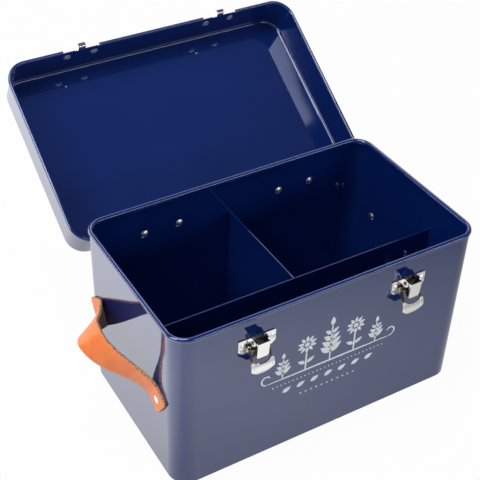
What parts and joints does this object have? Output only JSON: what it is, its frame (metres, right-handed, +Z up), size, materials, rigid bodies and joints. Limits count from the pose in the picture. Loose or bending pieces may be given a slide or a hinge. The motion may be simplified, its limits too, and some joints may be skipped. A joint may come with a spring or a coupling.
{
  "type": "seed packet storage box",
  "caption": "Painted steel box for seed packets with fixed dividers, a hinged lid, draw latches and leather strap handles.",
  "frame": {"origin": "middle of the flat underside of the tub", "axes": "+X to the right along the front, +Y from the front to the back, +Z up"},
  "size_m": [0.417, 0.3919, 0.2787],
  "materials": {
    "painted_steel": "gloss navy paint",
    "bright_nickel": "bright nickel plate",
    "tan_leather": "smooth tan leather with raw cut edges"
  },
  "bodies": {
    "tub": {"tub_wall": "painted_steel", "tub_base": "painted_steel", "long_divider": "painted_steel", "cross_divider": "painted_steel", "hinge_tub_leaf_left": "bright_nickel", "hinge_tub_leaf_right": "bright_nickel", "hinge_pins": "bright_nickel", "hinge_tub_rivets": "bright_nickel", "latch_base_left": "bright_nickel", "latch_base_right": "bright_nickel", "latch_base_rivets": "bright_nickel", "lever_pins": "bright_nickel", "strap_left": "tan_leather", "strap_right": "tan_leather", "strap_rivets": "bright_nickel"},
    "lid": {"lid_shell": "painted_steel", "hinge_lid_leaf_left": "bright_nickel", "hinge_lid_leaf_right": "bright_nickel", "hinge_lid_rivets": "bright_nickel", "catch_plate_left": "bright_nickel", "catch_plate_right": "bright_nickel", "catch_rivets": "bright_nickel"},
    "lever_left": {"latch_lever_left": "bright_nickel", "loop_pin_left": "bright_nickel"},
    "lever_right": {"latch_lever_right": "bright_nickel", "loop_pin_right": "bright_nickel"},
    "loop_left": {"latch_loop_left": "bright_nickel"},
    "loop_right": {"latch_loop_right": "bright_nickel"}
  },
  "joints": [
    {"name": "lid_hinge", "type": "hinge", "parent": "tub", "child": "lid", "pos_m": [0, 0.09742, 0.16615], "axis": [1, 0, 0], "range_deg": [0, 145.9]},
    {"name": "latch_lever_left_pivot", "type": "hinge", "parent": "tub", "child": "lever_left", "pos_m": [-0.082, -0.0995, 0.162], "axis": [1, 0, 0], "range_deg": [-105, 0]},
    {"name": "latch_lever_right_pivot", "type": "hinge", "parent": "tub", "child": "lever_right", "pos_m": [0.082, -0.0995, 0.162], "axis": [1, 0, 0], "range_deg": [-105, 0]},
    {"name": "draw_loop_left_pivot", "type": "hinge", "parent": "lever_left", "child": "loop_left", "pos_m": [-0.082, -0.0985, 0.1535], "axis": [-1, 0, 0], "range_deg": [0, 138]},
    {"name": "draw_loop_right_pivot", "type": "hinge", "parent": "lever_right", "child": "loop_right", "pos_m": [0.082, -0.0985, 0.1535], "axis": [-1, 0, 0], "range_deg": [0, 138]}
  ]
}
